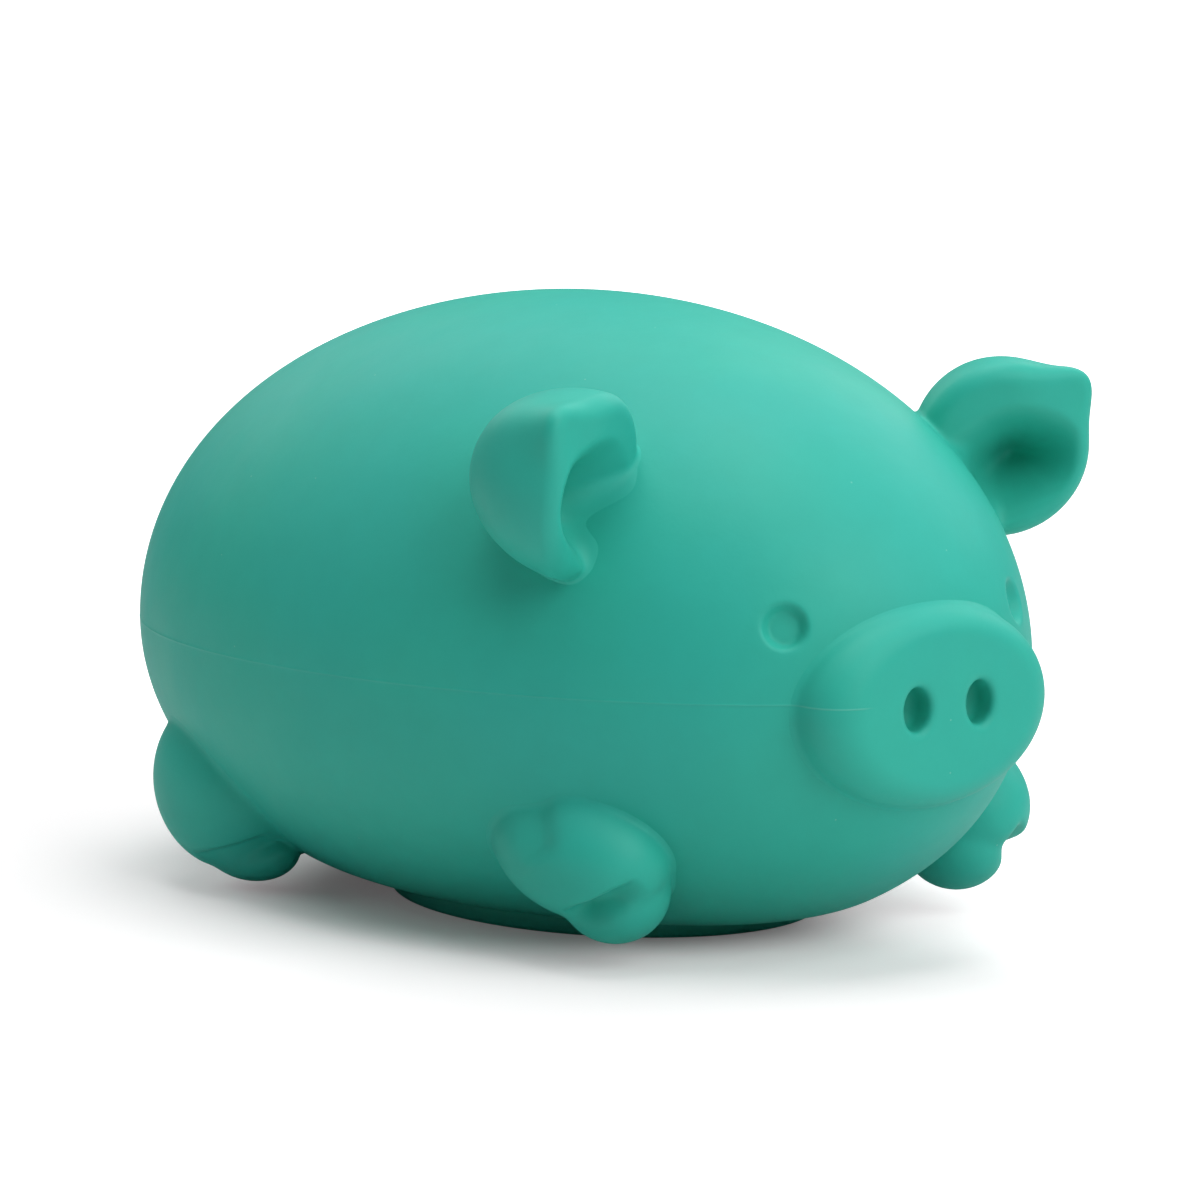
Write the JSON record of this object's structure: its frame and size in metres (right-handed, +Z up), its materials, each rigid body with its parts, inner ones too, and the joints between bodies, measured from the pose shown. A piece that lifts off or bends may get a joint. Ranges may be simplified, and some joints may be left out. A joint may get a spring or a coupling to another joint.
{
  "type": "soft squeeze toy pig",
  "caption": "Rounded soft squeeze toy shaped like a small pig, with a seamed rubber skin over a foam filling, cupped ears, a disc snout and cloven feet.",
  "frame": {"origin": "on the ground under the middle of the body's length and width", "axes": "+Z up, the snout points along -Y, +X is the pig's own left side"},
  "size_m": [0.0672, 0.0988, 0.0537],
  "materials": {
    "skin_rubber": "smooth matte soft rubber",
    "foam": "open soft foam",
    "plug_rubber": "smooth matte soft rubber"
  },
  "bodies": {
    "belly": {"lower_skin": "skin_rubber", "fill_plug": "plug_rubber", "soft_core": "foam", "snout": "skin_rubber", "tail": "skin_rubber", "left_front_foot": "skin_rubber", "right_front_foot": "skin_rubber", "left_rear_foot": "skin_rubber", "right_rear_foot": "skin_rubber"},
    "back": {"upper_skin": "skin_rubber"},
    "ear_left": {"left_ear": "skin_rubber"},
    "ear_right": {"right_ear": "skin_rubber"}
  },
  "joints": [
    {"name": "back_press", "type": "slide", "parent": "belly", "child": "back", "axis": [0, 0, 1], "range_m": [-0.008, 0], "stiffness_N_per_m": 1200, "springref_m": 0.001, "deforming": ["upper_skin", "soft_core"]},
    {"name": "left_ear_bend", "type": "hinge", "parent": "back", "child": "ear_left", "pos_m": [0.0193, -0.0292, 0.0378], "axis": [-0.5793, 0.105, 0.8084], "range_deg": [-25, 20], "stiffness_Nm_per_rad": 0.02},
    {"name": "right_ear_bend", "type": "hinge", "parent": "back", "child": "ear_right", "pos_m": [-0.0193, -0.0292, 0.0378], "axis": [-0.5793, -0.105, -0.8084], "range_deg": [-25, 20], "stiffness_Nm_per_rad": 0.02}
  ]
}
